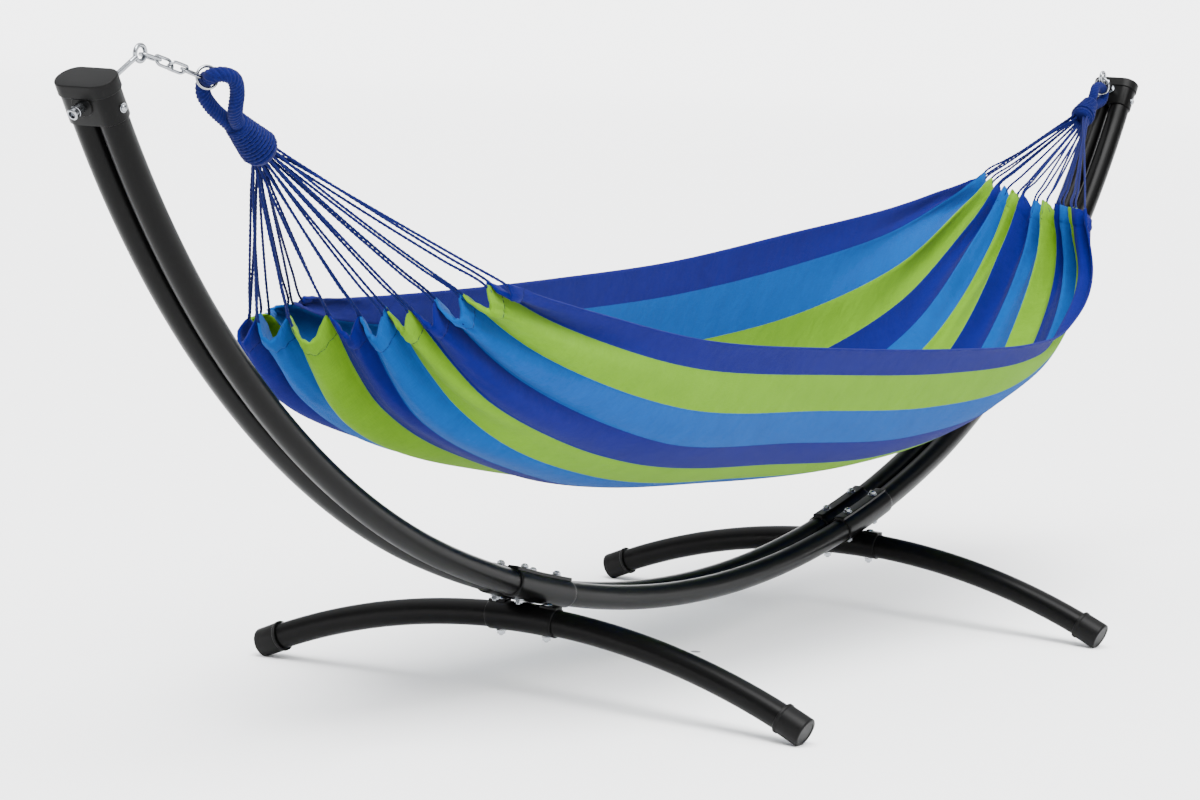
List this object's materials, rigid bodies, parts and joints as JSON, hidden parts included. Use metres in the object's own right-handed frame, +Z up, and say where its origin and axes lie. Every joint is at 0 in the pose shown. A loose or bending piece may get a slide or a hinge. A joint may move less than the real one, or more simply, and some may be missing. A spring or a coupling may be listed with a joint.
{
  "type": "hammock on stand",
  "caption": "Striped cloth hammock hung by gathered cords, chain and eye bolts between the raised ends of a curved twin-tube steel stand on bowed cross legs.",
  "frame": {"origin": "middle of the stand on the floor", "axes": "+X along the stand from the end with the long chain to the other end, +Y to the rear, +Z up"},
  "size_m": [3.827, 1.1738, 1.1551],
  "materials": {
    "powder_coat": "black powder coat, satin with a faint orange-peel texture",
    "black_plastic": "moulded black plastic, fine matt grain",
    "zinc_steel": "bright zinc-plated steel, lightly rubbed",
    "striped_cotton": "woven cotton canvas in navy, azure and lime stripes",
    "navy_cord": "twisted and wrapped navy cotton cord"
  },
  "bodies": {
    "stand": {"arc_middle_front": "powder_coat", "arc_middle_rear": "powder_coat", "arc_sleeve_left_front": "powder_coat", "arc_sleeve_left_rear": "powder_coat", "arc_sleeve_right_front": "powder_coat", "arc_sleeve_right_rear": "powder_coat", "arc_upper_left_front": "powder_coat", "arc_upper_left_rear": "powder_coat", "arc_upper_right_front": "powder_coat", "arc_upper_right_rear": "powder_coat", "barrel_nut_left": "zinc_steel", "barrel_nut_right": "zinc_steel", "collar_inner_screw_left": "zinc_steel", "collar_inner_screw_right": "zinc_steel", "collar_left": "powder_coat", "collar_right": "powder_coat", "collar_screw_left_front": "zinc_steel", "collar_screw_left_rear": "zinc_steel", "collar_screw_right_front": "zinc_steel", "collar_screw_right_rear": "zinc_steel", "eye_bolt_left": "zinc_steel", "eye_bolt_right": "zinc_steel", "eye_nut_left": "zinc_steel", "eye_nut_right": "zinc_steel", "foot_cap_left_front": "black_plastic", "foot_cap_left_rear": "black_plastic", "foot_cap_right_front": "black_plastic", "foot_cap_right_rear": "black_plastic", "leg_bolt_left_front": "zinc_steel", "leg_bolt_left_rear": "zinc_steel", "leg_bolt_right_front": "zinc_steel", "leg_bolt_right_rear": "zinc_steel", "leg_sleeve_left": "powder_coat", "leg_sleeve_right": "powder_coat", "leg_tube_left_front": "powder_coat", "leg_tube_left_rear": "powder_coat", "leg_tube_right_front": "powder_coat", "leg_tube_right_rear": "powder_coat", "sleeve_bolt_left_front_inner": "zinc_steel", "sleeve_bolt_left_front_outer": "zinc_steel", "sleeve_bolt_left_rear_inner": "zinc_steel", "sleeve_bolt_left_rear_outer": "zinc_steel", "sleeve_bolt_right_front_inner": "zinc_steel", "sleeve_bolt_right_front_outer": "zinc_steel", "sleeve_bolt_right_rear_inner": "zinc_steel", "sleeve_bolt_right_rear_outer": "zinc_steel", "top_cap_left": "black_plastic", "top_cap_right": "black_plastic"},
    "hammock": {"chain_link_left_1": "zinc_steel", "chain_link_left_2": "zinc_steel", "chain_link_left_3": "zinc_steel", "chain_link_left_4": "zinc_steel", "chain_link_right": "zinc_steel", "chain_ring_left": "zinc_steel", "cord_fan_left": "navy_cord", "cord_fan_right": "navy_cord", "hammock_bed": "striped_cotton", "rope_loop_left": "navy_cord", "rope_loop_right": "navy_cord"}
  },
  "joints": [
    {"name": "hammock_swing", "type": "hinge", "parent": "stand", "child": "hammock", "pos_m": [-1.75754, 0, 1.13977], "axis": [1, 0, -0.0064], "range_deg": [-22, 22]}
  ]
}
